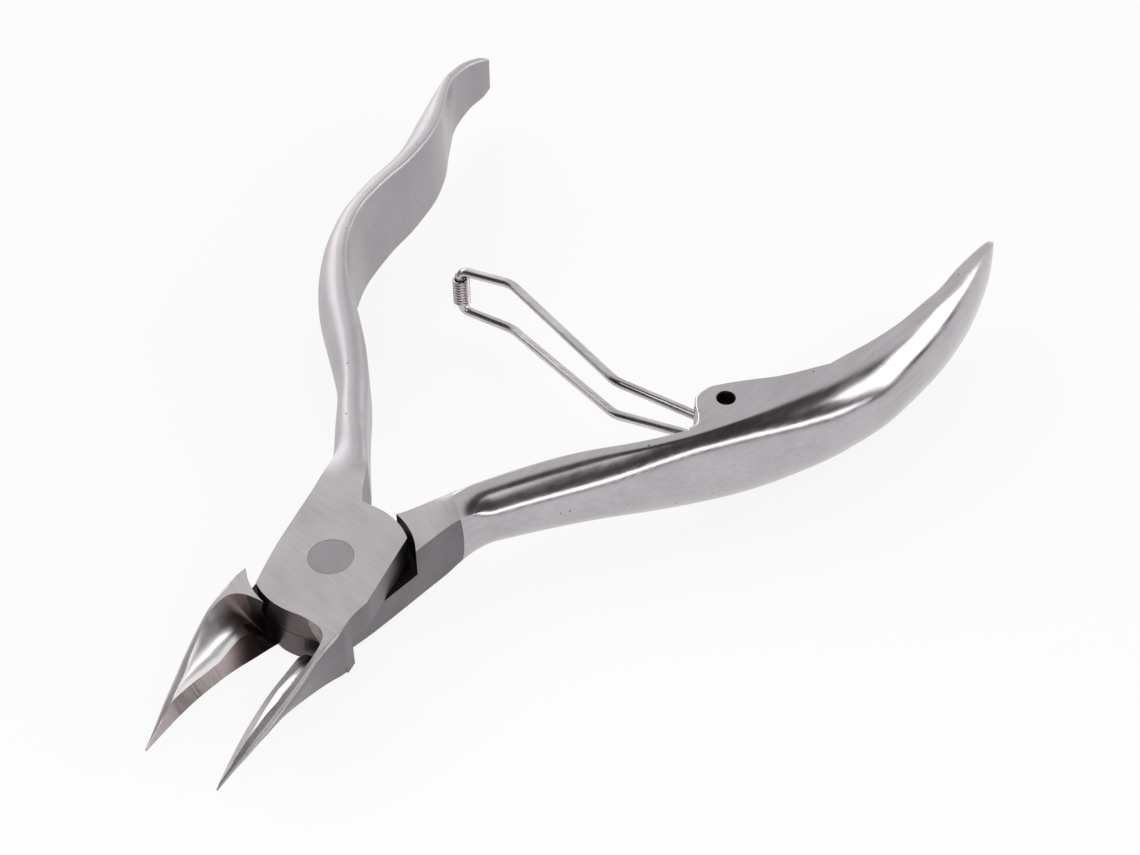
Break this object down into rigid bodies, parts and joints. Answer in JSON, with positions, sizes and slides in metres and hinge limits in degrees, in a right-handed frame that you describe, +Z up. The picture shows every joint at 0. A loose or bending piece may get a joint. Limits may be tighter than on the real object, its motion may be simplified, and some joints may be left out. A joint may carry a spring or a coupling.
{
  "type": "nail nipper",
  "caption": "Lap-joint nail nippers standing open: crossed halves with hollow-ground jaws on a flush rivet, and a wire return spring with a wound roller.",
  "frame": {"origin": "centre of the rivet's lower face, on the joint's axis", "axes": "+Z up along the rivet, +Y towards the handles midway between them, +X towards the handle that holds the spring"},
  "size_m": [0.0848, 0.1179, 0.0134],
  "materials": {
    "lower_half": "stainless steel, buffed bright along the handle, ground at the joint",
    "upper_half": "stainless steel, satin ground",
    "joint_rivet": "steel, ground flush with the lap plates",
    "spring_wire": "drawn spring wire, bright",
    "roller_coil": "drawn wire, close wound"
  },
  "bodies": {
    "lower": {"lower_half": "lower_half", "joint_rivet": "joint_rivet"},
    "upper": {"upper_half": "upper_half"},
    "bail": {"spring_wire": "spring_wire"},
    "roller": {"roller_coil": "roller_coil"}
  },
  "joints": [
    {"name": "jaw_pivot", "type": "hinge", "parent": "lower", "child": "upper", "pos_m": [0, 0, 0.0037], "axis": [0, 0, 1], "range_deg": [-18.8, 10], "stiffness_Nm_per_rad": 0.4},
    {"name": "bail_swing", "type": "hinge", "parent": "lower", "child": "bail", "pos_m": [0.0259, 0.0421, 0.0037], "axis": [0, 0, 1], "range_deg": [-19, 10.2]},
    {"name": "roller_spin", "type": "hinge", "parent": "bail", "child": "roller", "pos_m": [-0.01522, 0.04817, 0.0037], "axis": [0, 0, 1], "continuous": true}
  ],
  "couplings": [
    {"joint": "bail_swing", "follows": "jaw_pivot", "ratio": 1}
  ]
}
